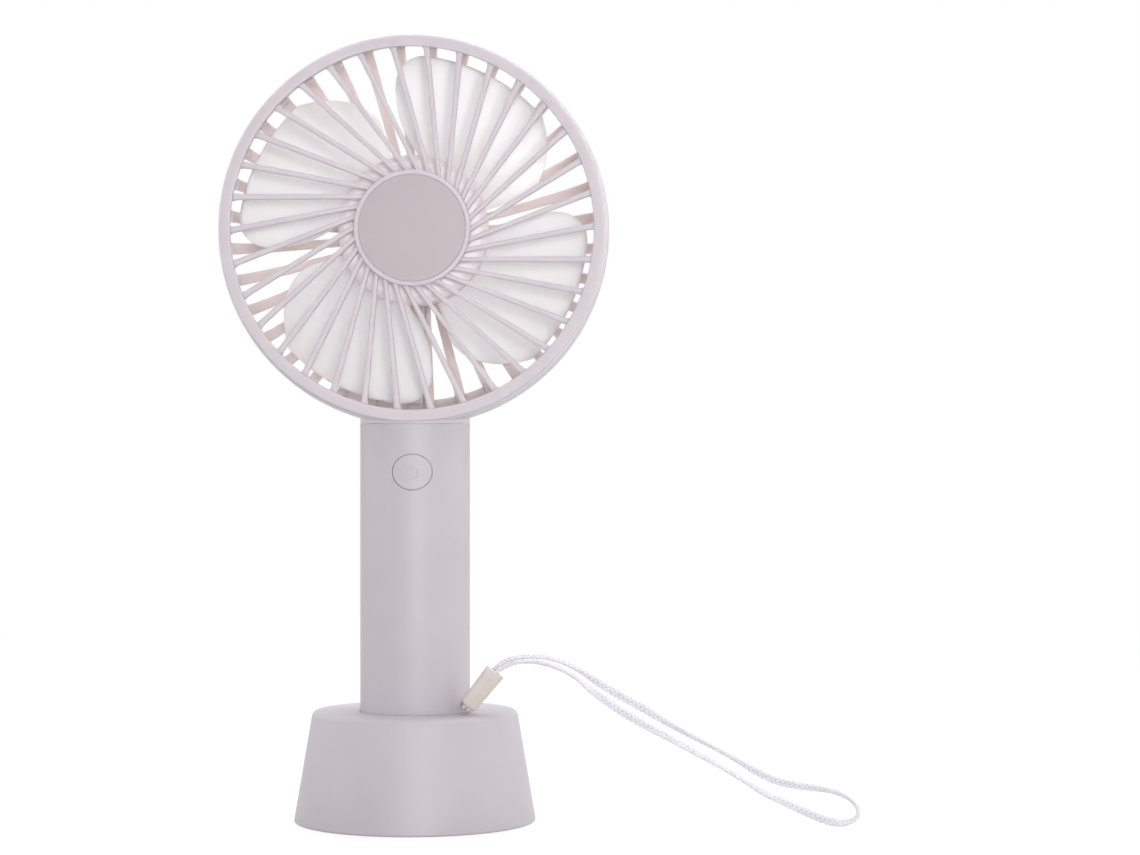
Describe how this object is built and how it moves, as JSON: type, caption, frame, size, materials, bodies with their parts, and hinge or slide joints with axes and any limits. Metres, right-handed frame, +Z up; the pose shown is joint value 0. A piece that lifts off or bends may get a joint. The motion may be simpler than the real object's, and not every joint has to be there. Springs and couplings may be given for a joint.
{
  "type": "handheld electric fan",
  "caption": "Round handheld electric fan with a swirled front grille, bladed impeller, slim handle with a push button, wrist strap, and a low conical desk stand it lifts out of.",
  "frame": {"origin": "on the table, at the centre of the stand's foot, straight below the handle's axis", "axes": "+Z up along the handle, -Y to the front where the air leaves, +X to the right seen from the front"},
  "size_m": [0.169, 0.0642, 0.2085],
  "materials": {
    "shell_white": "satin moulded ABS, white",
    "blade_white": "moulded, slightly translucent white",
    "badge_white": "satin moulded, warm grey white",
    "sleeve_ivory": "soft moulded, ivory",
    "strap_white": "flat white braid",
    "steel_bright": "drawn and plated sheet",
    "bronze_bush": "sintered bronze",
    "ferrite_dark": "sintered ferrite, dark grey",
    "core_steel": "stacked sheet, dull",
    "copper_bars": "turned copper",
    "board_green": "green lacquered laminate",
    "chip_black": "moulded black",
    "cell_wrap": null,
    "nickel_tab": "nickel strip",
    "lead_red": "red insulation",
    "lead_black": "black insulation"
  },
  "bodies": {
    "stand": {"stand_shell": "shell_white"},
    "fan": {"handle_tube": "shell_white", "handle_end_cap": "shell_white", "inner_frame": "shell_white", "battery_cell": "cell_wrap", "battery_tab_bottom": "nickel_tab", "battery_tab_top": "nickel_tab", "battery_lead_black": "lead_black", "battery_lead_red": "lead_red", "control_board": "board_green", "board_screw_lower": "steel_bright", "board_screw_upper": "steel_bright", "switch_body": "steel_bright", "drive_chip": "chip_black", "charge_board": "board_green", "charge_socket": "steel_bright", "head_shell": "shell_white", "wire_cover": "shell_white", "front_grille": "shell_white", "grille_badge": "badge_white", "motor_can": "steel_bright", "motor_end_bell": "chip_black", "motor_bush_front": "bronze_bush", "motor_bush_rear": "bronze_bush", "magnet_lower": "ferrite_dark", "magnet_upper": "ferrite_dark", "motor_retainer": "shell_white", "retainer_screw_left": "steel_bright", "retainer_screw_right": "steel_bright", "motor_lead_black": "lead_black", "motor_lead_red": "lead_red", "strap_sleeve": "sleeve_ivory", "strap_tether": "strap_white", "wrist_strap": "strap_white"},
    "impeller": {"impeller": "blade_white", "motor_shaft": "steel_bright", "armature": "core_steel", "commutator": "copper_bars"},
    "button": {"power_button": "shell_white", "switch_plunger": "chip_black"}
  },
  "joints": [
    {"name": "fan_lift", "type": "slide", "parent": "stand", "child": "fan", "axis": [0, 0, 1], "range_m": [0, 0.03]},
    {"name": "impeller_spin", "type": "hinge", "parent": "fan", "child": "impeller", "pos_m": [0, 0, 0.1568], "axis": [0, 1, 0], "continuous": true},
    {"name": "button_press", "type": "slide", "parent": "fan", "child": "button", "axis": [0, 1, 0], "range_m": [0, 0.0005], "stiffness_N_per_m": 1500, "springref_m": -0.0003}
  ]
}
